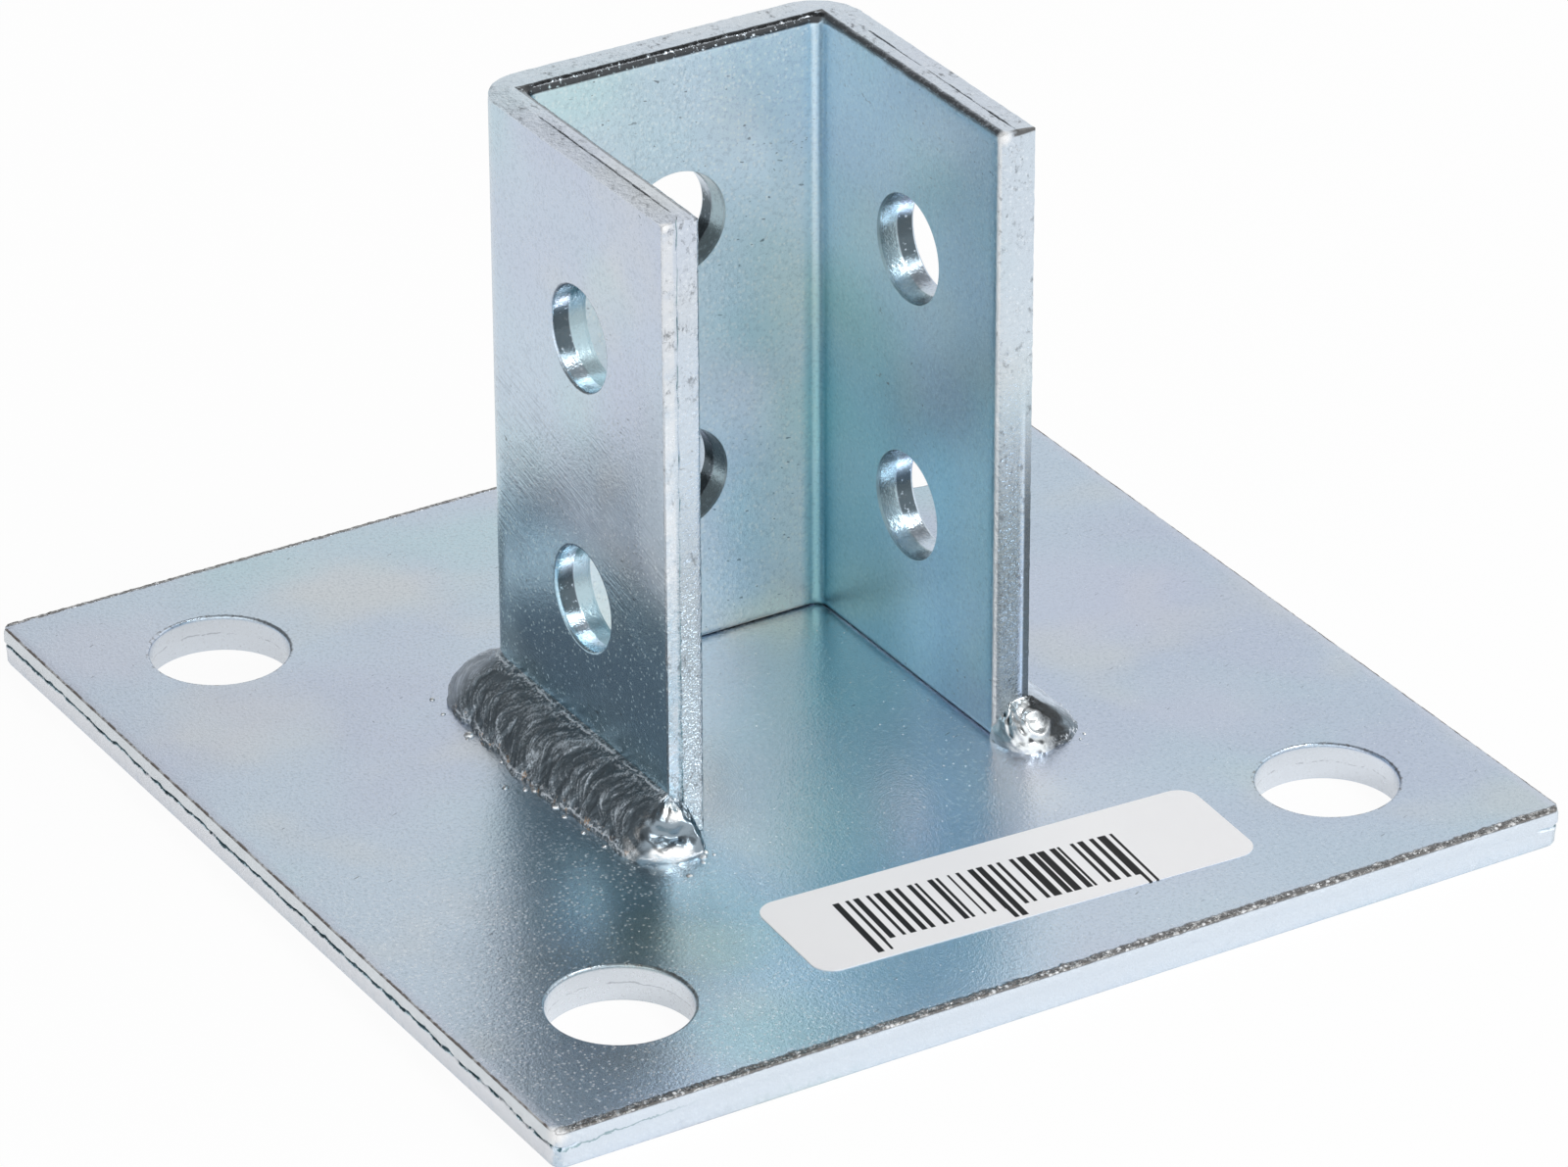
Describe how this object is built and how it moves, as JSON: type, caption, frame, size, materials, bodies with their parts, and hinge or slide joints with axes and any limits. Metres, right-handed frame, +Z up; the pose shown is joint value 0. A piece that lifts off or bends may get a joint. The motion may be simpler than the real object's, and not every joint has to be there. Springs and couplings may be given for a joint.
{
  "type": "strut post base",
  "caption": "Square anchor plate with a folded and punched channel welded upright on it, a floor base that holds the end of a strut post.",
  "frame": {"origin": "centre of the plate's underside", "axes": "+Z up along the post, +X along the plate's front edge, -Y towards the open side of the channel"},
  "size_m": [0.1524, 0.1524, 0.0945],
  "materials": {
    "zinc_plated_steel": "bright zinc plating with a pale blue passivated tint",
    "plated_weld": "zinc plated weld metal, rippled and glossy",
    "label_paper": "white coated label paper"
  },
  "bodies": {
    "root": {"base_plate": "zinc_plated_steel", "u_channel": "zinc_plated_steel", "weld_bead_left": "plated_weld", "weld_bead_right": "plated_weld", "paper_label": "label_paper"}
  },
  "joints": []
}
